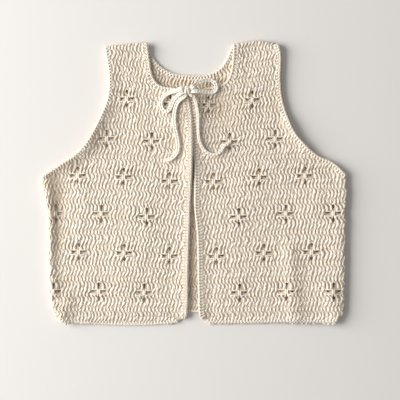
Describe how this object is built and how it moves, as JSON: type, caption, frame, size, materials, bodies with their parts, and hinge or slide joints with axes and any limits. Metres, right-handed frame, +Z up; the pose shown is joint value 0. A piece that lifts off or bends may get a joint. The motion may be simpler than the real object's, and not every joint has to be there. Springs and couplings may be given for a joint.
{
  "type": "toddler's open-front crochet vest with a neck tie, laid flat",
  "caption": "Sleeveless open-front crochet vest for a toddler, laid flat face up, with eyelet flowers, crocheted edgings and a cord bow at the neck.",
  "frame": {"origin": "middle of the laid-out vest's outline, on the surface it lies on", "axes": "+X to the right as seen from above, +Y towards the shoulders, +Z up off the surface"},
  "size_m": [0.3368, 0.3135, 0.0151],
  "materials": {
    "cotton_cloth": "matt cream cotton, crocheted in rows",
    "cotton_edging": "matt cream cotton, crocheted edging",
    "cotton_cord": "matt cream cotton, chained cord"
  },
  "bodies": {
    "root": {"back": "cotton_cloth", "front_left": "cotton_cloth", "front_right": "cotton_cloth", "band_front_left": "cotton_edging", "band_front_right": "cotton_edging", "band_back_neck": "cotton_edging", "armhole_left_front": "cotton_edging", "armhole_left_back": "cotton_edging", "armhole_right_front": "cotton_edging", "armhole_right_back": "cotton_edging", "hem_left": "cotton_edging", "hem_right": "cotton_edging", "hem_back": "cotton_edging", "tie_knot": "cotton_cord", "tie_loop_left": "cotton_cord", "tie_loop_right": "cotton_cord", "tie_tail_left": "cotton_cord", "tie_tail_right": "cotton_cord"}
  },
  "joints": []
}
